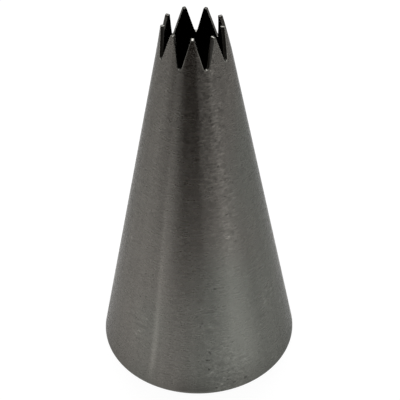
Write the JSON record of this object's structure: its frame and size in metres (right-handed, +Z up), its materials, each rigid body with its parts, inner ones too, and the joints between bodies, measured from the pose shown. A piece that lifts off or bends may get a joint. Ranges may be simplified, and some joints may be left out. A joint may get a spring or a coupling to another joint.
{
  "type": "piping nozzle",
  "caption": "Tall conical piping nozzle of thin stainless sheet with an open star mouth of pointed teeth, for piping cream or icing from a bag.",
  "frame": {"origin": "centre of the base, on the plane that the nozzle stands on", "axes": "+Z up the axis of the cone towards the teeth; -Y through the middle of one tooth"},
  "size_m": [0.03, 0.03, 0.0564],
  "materials": {
    "stainless_sheet": "satin, with fine marks running round the axis"
  },
  "bodies": {
    "root": {"nozzle_shell": "stainless_sheet"}
  },
  "joints": []
}
